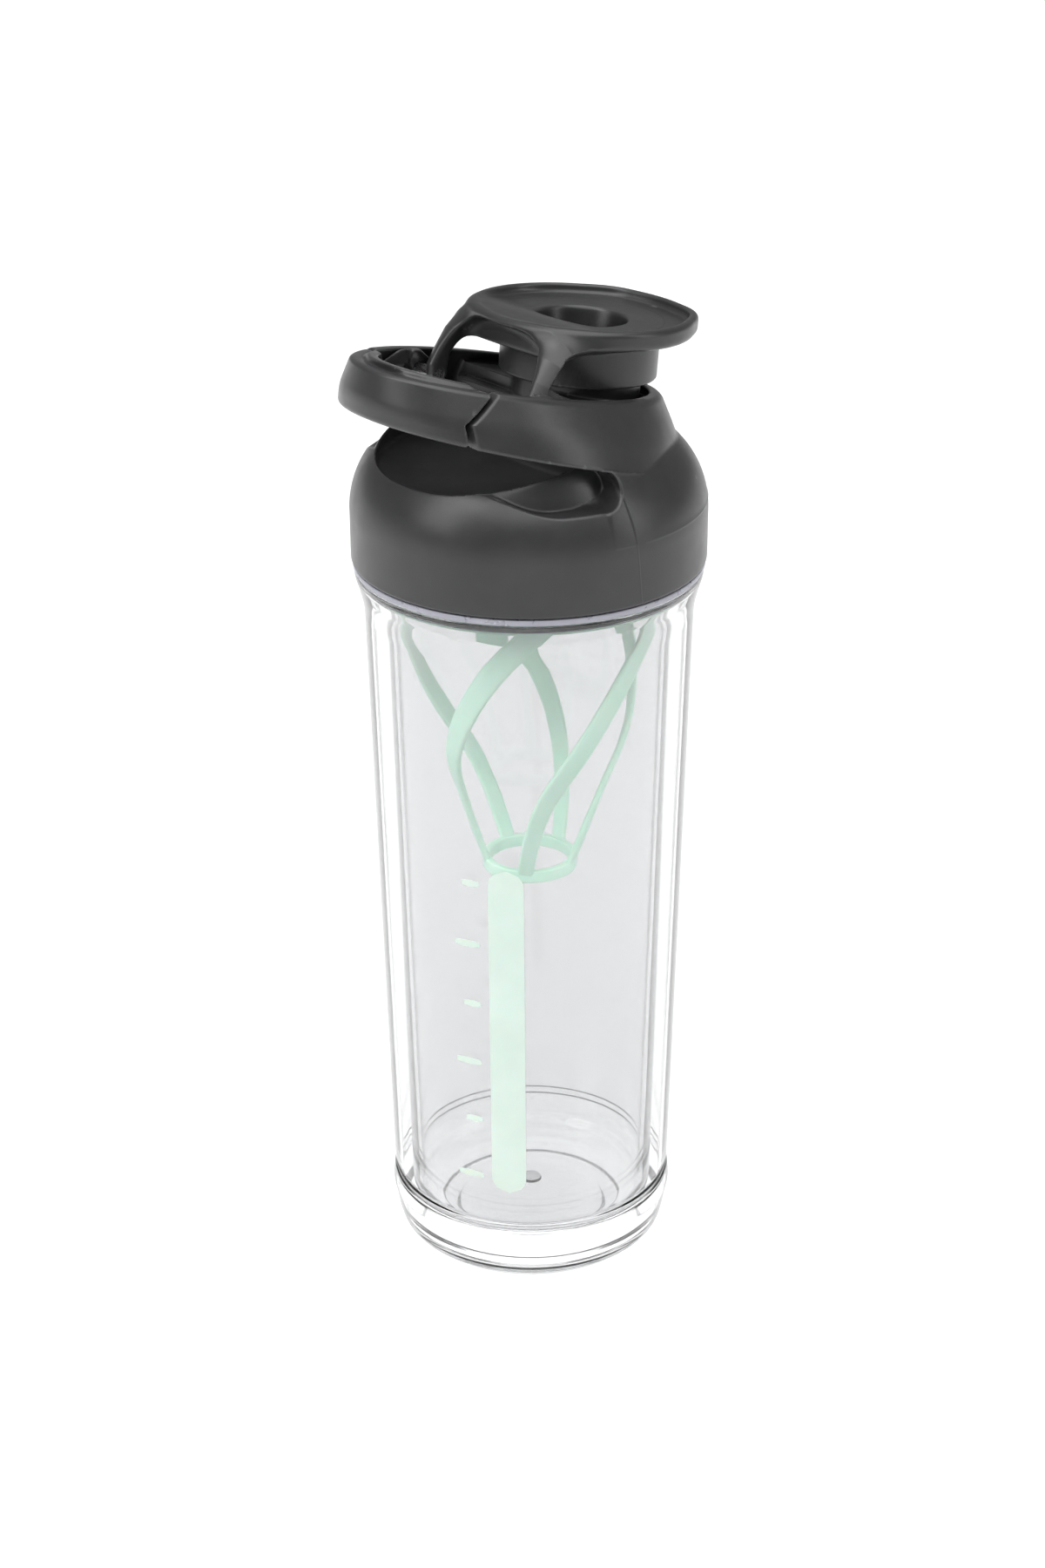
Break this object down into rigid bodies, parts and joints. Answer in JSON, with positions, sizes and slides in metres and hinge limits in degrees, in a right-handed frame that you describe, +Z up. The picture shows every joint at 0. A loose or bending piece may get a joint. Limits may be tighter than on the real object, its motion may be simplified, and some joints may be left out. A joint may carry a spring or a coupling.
{
  "type": "protein shaker bottle",
  "caption": "Clear double-walled shaker cup with a screw lid, a flip cap over the drinking spout, a carry loop and a lift-out mixing whisk.",
  "frame": {"origin": "centre of the bottom, on the surface that the bottle stands on", "axes": "+Z up along the cup's axis; +X towards the drinking spout and the thumb tab; the carry loop is at -X; +Y to the left"},
  "size_m": [0.0963, 0.09, 0.2613],
  "materials": {
    "clear_plastic": "clear moulded copolyester, gloss",
    "clear_liner": "clear moulded copolyester, gloss",
    "grey_ring": "translucent grey",
    "silicone": "matt silicone",
    "charcoal_plastic": "fine spark texture, satin",
    "steel": "plain",
    "mint_plastic": "satin"
  },
  "bodies": {
    "bottle": {"outer_shell": "clear_plastic", "base_cup": "clear_plastic", "inner_liner": "clear_liner", "neck_ring": "grey_ring"},
    "gasket": {"lid_gasket": "silicone"},
    "lid": {"lid_body": "charcoal_plastic", "carry_loop": "charcoal_plastic", "hinge_pin_right": "steel", "hinge_pin_left": "steel"},
    "flip": {"flip_cap": "charcoal_plastic", "spout_seal": "silicone"},
    "whisk": {"whisk_ring": "mint_plastic", "whisk_foot": "mint_plastic", "whisk_rib_1": "mint_plastic", "whisk_rib_2": "mint_plastic", "whisk_rib_3": "mint_plastic", "whisk_rib_4": "mint_plastic", "whisk_rib_5": "mint_plastic"}
  },
  "joints": [
    {"name": "lid_lift", "type": "slide", "parent": "bottle", "child": "gasket", "axis": [0, 0, 1], "range_m": [0, 0.012]},
    {"name": "lid_turn", "type": "hinge", "parent": "gasket", "child": "lid", "pos_m": [0, 0, 0.205], "axis": [0, 0, 1], "range_deg": [0, 360]},
    {"name": "flip_hinge", "type": "hinge", "parent": "lid", "child": "flip", "pos_m": [-0.014, 0, 0.2432], "axis": [0, -1, 0], "range_deg": [0, 80]},
    {"name": "whisk_lift", "type": "slide", "parent": "bottle", "child": "whisk", "axis": [0, 0, 1], "range_m": [0, 0.018]}
  ],
  "couplings": [
    {"joint": "lid_lift", "follows": "lid_turn", "m_per_rad": 0.0019099}
  ]
}
